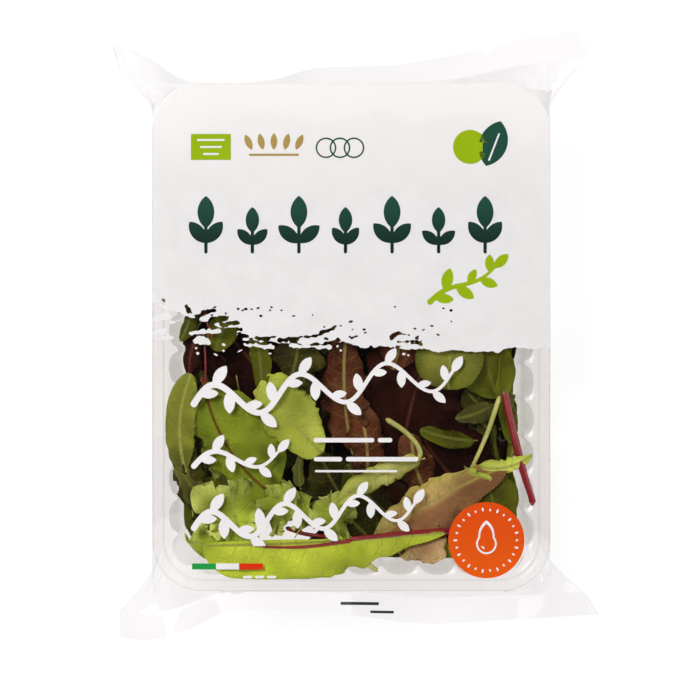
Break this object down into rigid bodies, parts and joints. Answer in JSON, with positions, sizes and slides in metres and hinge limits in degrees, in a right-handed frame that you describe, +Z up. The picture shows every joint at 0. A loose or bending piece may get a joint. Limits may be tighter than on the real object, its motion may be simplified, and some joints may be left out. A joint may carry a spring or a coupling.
{
  "type": "flow-wrapped tray pack of mixed salad leaves",
  "caption": "Clear tray heaped with mixed salad leaves, in a tube of clear printed film sealed flat at both ends, with flared ears at the four corners.",
  "frame": {"origin": "centre of the pack's footprint, on the surface that the tray's foot rests on", "axes": "+X across the pack, to the right as its print is seen; +Y along the pack, to the print's top; +Z up, out of the printed side"},
  "size_m": [0.2224, 0.2764, 0.0528],
  "materials": {
    "wrapped_leaves": "glossy clear film over mixed leaves",
    "film": "clear, glossy, lightly creased",
    "tray": "clear, glossy, thermoformed",
    "print_white": "opaque white ink under film",
    "print_dark_green": "ink under film",
    "print_lime": "ink under film",
    "print_gold": "ink under film",
    "print_orange": "ink under film",
    "print_red": "ink under film",
    "leaf_green": "satin leaf, veined",
    "leaf_light": "satin leaf, veined",
    "leaf_red": "satin leaf, veined",
    "leaf_brown": "satin leaf, veined",
    "stem_red": "smooth stem",
    "stem_green": "smooth stem"
  },
  "bodies": {
    "root": {"bag": "wrapped_leaves"}
  },
  "joints": []
}
